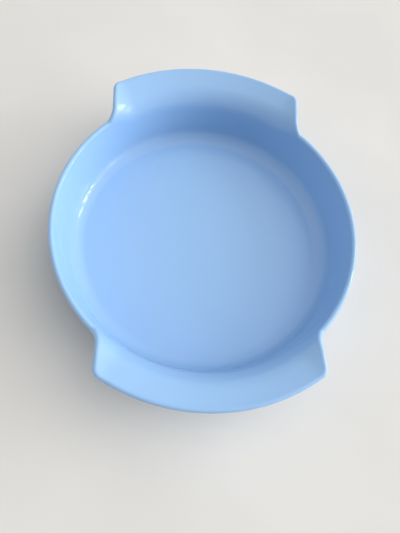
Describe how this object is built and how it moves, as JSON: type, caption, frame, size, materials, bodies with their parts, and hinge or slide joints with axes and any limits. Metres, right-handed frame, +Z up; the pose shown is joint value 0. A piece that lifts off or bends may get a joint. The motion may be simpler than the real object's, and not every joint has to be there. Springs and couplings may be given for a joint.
{
  "type": "eared serving dish",
  "caption": "Round, steep-walled glazed porcelain serving dish with two broad ears flared from its wall, standing on an unglazed foot ring.",
  "frame": {"origin": "centre of the foot ring, on the surface that the dish stands on", "axes": "+Z up, out of the dish's mouth; the ears point along +Y and -Y"},
  "size_m": [0.24, 0.281, 0.0598],
  "materials": {
    "glaze": "glossy, plain pale blue, slightly lighter where it thins at the edges",
    "biscuit": "matt, unglazed, finely grained"
  },
  "bodies": {
    "root": {"basin": "glaze", "ear_front": "glaze", "ear_back": "glaze", "foot_ring": "biscuit"}
  },
  "joints": []
}
